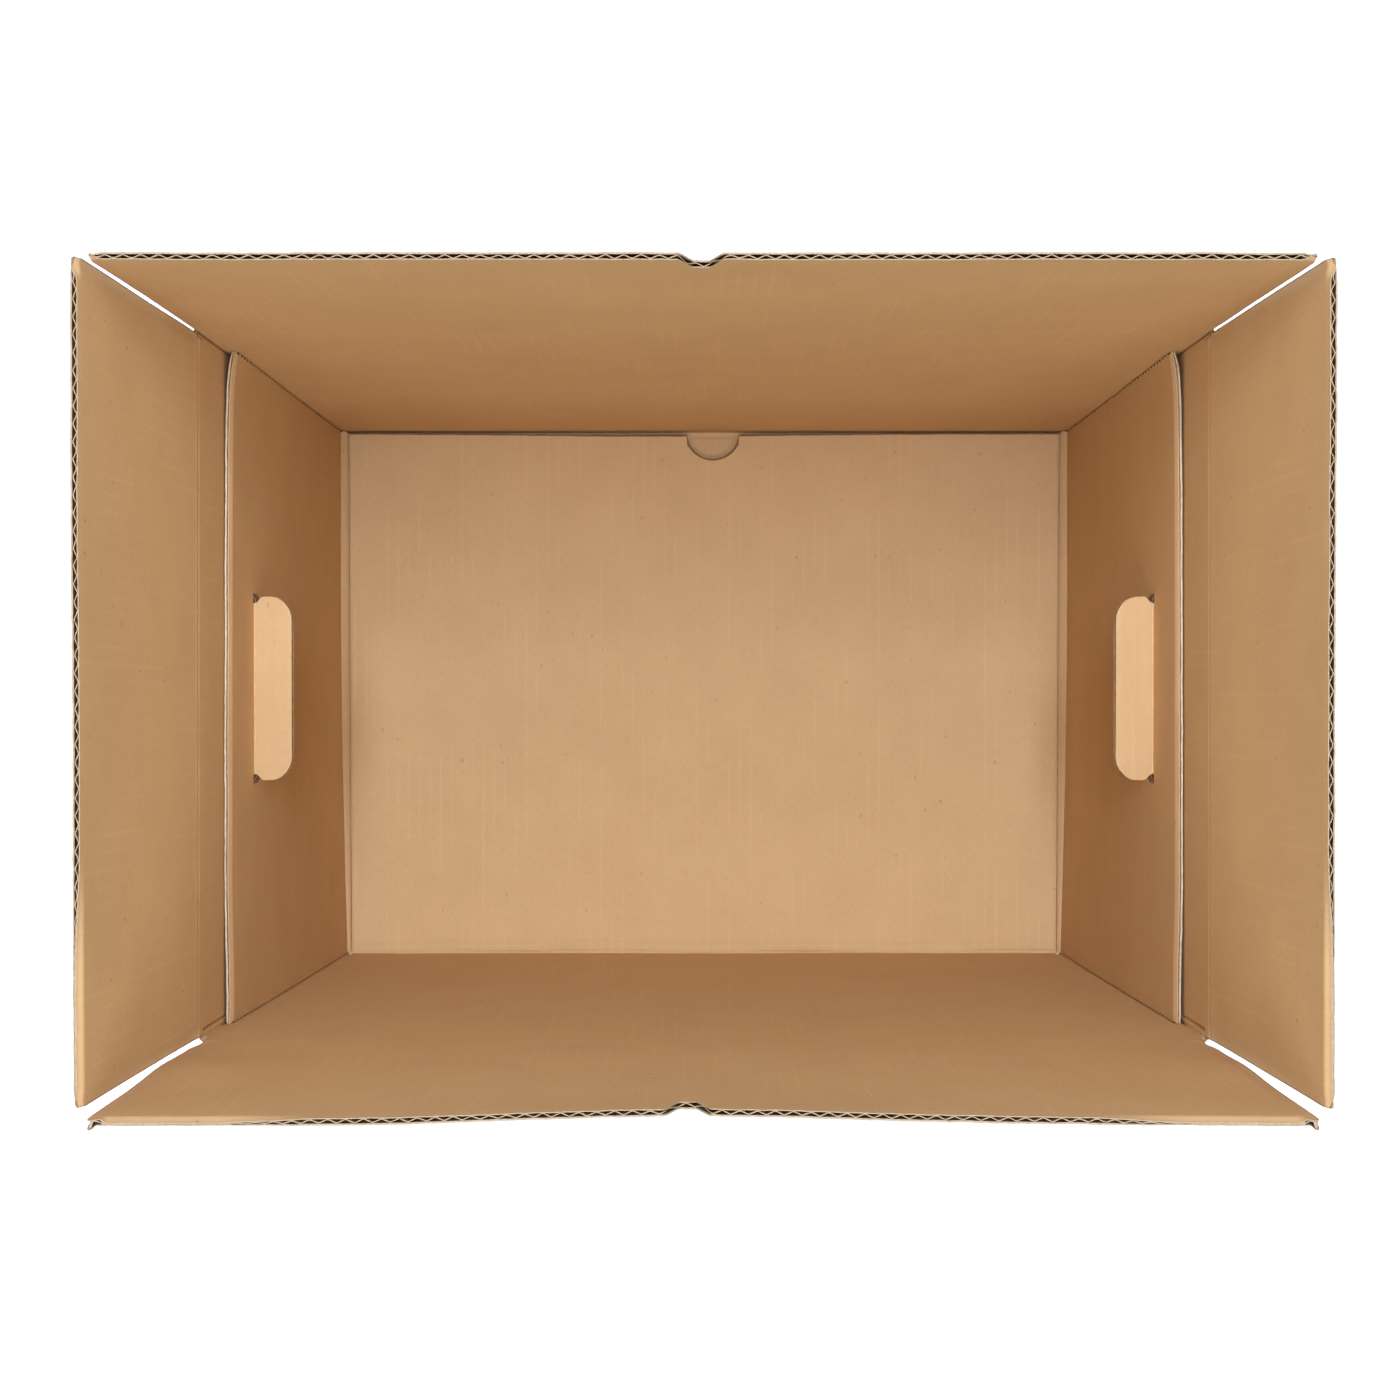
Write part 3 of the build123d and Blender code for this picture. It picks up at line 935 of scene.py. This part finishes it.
build_walls()
build_flap(
    "front_top_flap", "front_flap_crease", along=(1, 0, 0), inward=(0, 1, 0), half=LONG_HALF,
    sides=((224.5, 226.4), (223.8, 225.9)), lean=0.0, bow=front_bow,
    score=0.12, shut=(88.0, 88.0), seed=11, notch=-6.0, slot=2.2, peel=2.2,
)
build_flap(
    "back_top_flap", "back_flap_crease", along=(1, 0, 0), inward=(0, -1, 0), half=LONG_HALF,
    sides=((225.3, 226.0), (225.3, 225.2)), lean=-1.0, bow=even_bow(0.4, 0.1),
    score=0.10, shut=(3.0, 4.0), seed=26, notch=-1.0,
)
build_flap(
    "left_top_flap", "left_flap_crease", along=(0, 1, 0), inward=(1, 0, 0), half=END_HALF,
    sides=((156.7, 156.9), (157.2, 157.0)), lean=2.0, bow=even_bow(1.3, -0.75),
    score=0.28, shut=(98.0, 9.0), seed=44, free=SEAM + 2.0,
)
build_flap(
    "right_top_flap", "right_flap_crease", along=(0, 1, 0), inward=(-1, 0, 0), half=END_HALF,
    sides=((157.3, 157.2), (157.1, 156.6)), lean=2.0, bow=even_bow(1.3, -0.5),
    score=0.28, shut=(98.0, 9.0), seed=59, free=SEAM + 2.0,
)
build_base()
build_bottom_flap(
    "back_bottom_flap", (0, OUTER_Y, 0), along=(1, 0, 0), inward=(0, -1, 0),
    low=0.0, half=224.0, length=315.2, shift=900.0,
)
for name, side, shift in (("left_bottom_flap", -1, 1100.0), ("right_bottom_flap", 1, 1300.0)):
    build_bottom_flap(
        name, (side * OUTER_X, 0, 0), along=(0, 1, 0), inward=(-side, 0, 0),
        low=BOARD + SHEET_GAP, half=156.3, length=156.2, shift=shift,
    )
build_wing("left_wing", -1.0, 71)
build_wing("right_wing", 1.0, 83)
build_tab("left_grip_tab", "left_grip_flap", -1.0, 91)
build_tab("right_grip_tab", "right_grip_flap", 1.0, 97)


# Floor, light and camera, in metres

def build_floor():
    """A wide pale floor, just below the box."""
    half, level = 40.0, -0.0003
    mesh = bpy.data.meshes.new("floor")
    corners = [(x, y, level) for x, y in ((-half, -half), (half, -half), (half, half), (-half, half))]
    mesh.from_pydata(corners, [], [(0, 1, 2, 3)])
    material, _, shader = nodes_of("pale_floor")
    shader.inputs["Base Color"].default_value = (0.78, 0.78, 0.78, 1.0)
    shader.inputs["Roughness"].default_value = 0.9
    mesh.materials.append(material)
    floor = bpy.data.objects.new("floor", mesh)
    scene.collection.objects.link(floor)


def softbox(name, place, wide, deep, power, colour=(1.0, 1.0, 1.0)):
    """A rectangular light that faces the box at about the height of its creases."""
    aim = 0.35
    light = bpy.data.lights.new(name, "AREA")
    light.shape = "RECTANGLE"
    light.size, light.size_y = wide, deep
    light.energy = power
    light.color = colour
    lamp = bpy.data.objects.new(name, light)
    lamp.location = place
    x, y, z = place
    lamp.rotation_euler = (-atan2(y, z - aim), atan2(x, z - aim), 0.0)
    scene.collection.objects.link(lamp)


def build_sky():
    """A soft sky that is darker near the horizon."""
    world = bpy.data.worlds.new("studio")
    world.use_nodes = True
    tree = world.node_tree
    sky = tree.nodes["Background"]
    sky.inputs["Strength"].default_value = 0.54
    way, parts = tree.nodes.new("ShaderNodeTexCoord"), tree.nodes.new("ShaderNodeSeparateXYZ")
    tree.links.new(way.outputs["Generated"], parts.inputs["Vector"])
    tree.links.new(ramp(tree, parts.outputs["Z"], (0.08, grey(0.15)), (0.5, grey(1.0))), sky.inputs["Color"])
    scene.world = world


def build_light():
    """Soft lights above and all round: each one's place, width and depth in metres, and power in watts."""
    softbox("overhead", (0.0, 0.25, 2.6), 0.5, 0.9, 46.5, (0.90, 1.02, 1.26))
    softbox("front", (0.0, -1.2, 2.2), 1.4, 0.7, 24.0)
    softbox("back", (0.0, 1.2, 2.2), 1.4, 0.7, 6.0)
    softbox("high_back", (0.0, 0.8, 2.5), 0.8, 0.5, 4.0)
    for name, side in (("left", -1.0), ("right", 1.0)):
        softbox(name + "_low", (2.2 * side, 0.0, 1.2), 0.4, 0.9, 6.5)
        softbox(name + "_front", (1.7 * side, -0.4, 1.4), 0.4, 0.25, 2.4)
        softbox(name + "_back", (1.7 * side, 0.4, 1.4), 0.4, 0.25, 2.4)


def build_camera():
    """A camera straight above the box. The image's size, focal length and shift are in pixels."""
    image, focal, shift_x, shift_y = 1400.0, 2048.0, -4.0, 7.0
    sensor = 36.0
    lens = bpy.data.cameras.new("camera")
    lens.sensor_width = sensor
    lens.lens = sensor * focal / image
    lens.shift_x = shift_x / image
    lens.shift_y = shift_y / image
    camera = bpy.data.objects.new("camera", lens)
    camera.location = (0.0, -0.0091, 1.2566)
    scene.collection.objects.link(camera)
    scene.camera = camera


build_floor()
build_sky()
build_light()
build_camera()
scene.view_settings.view_transform = "Standard"
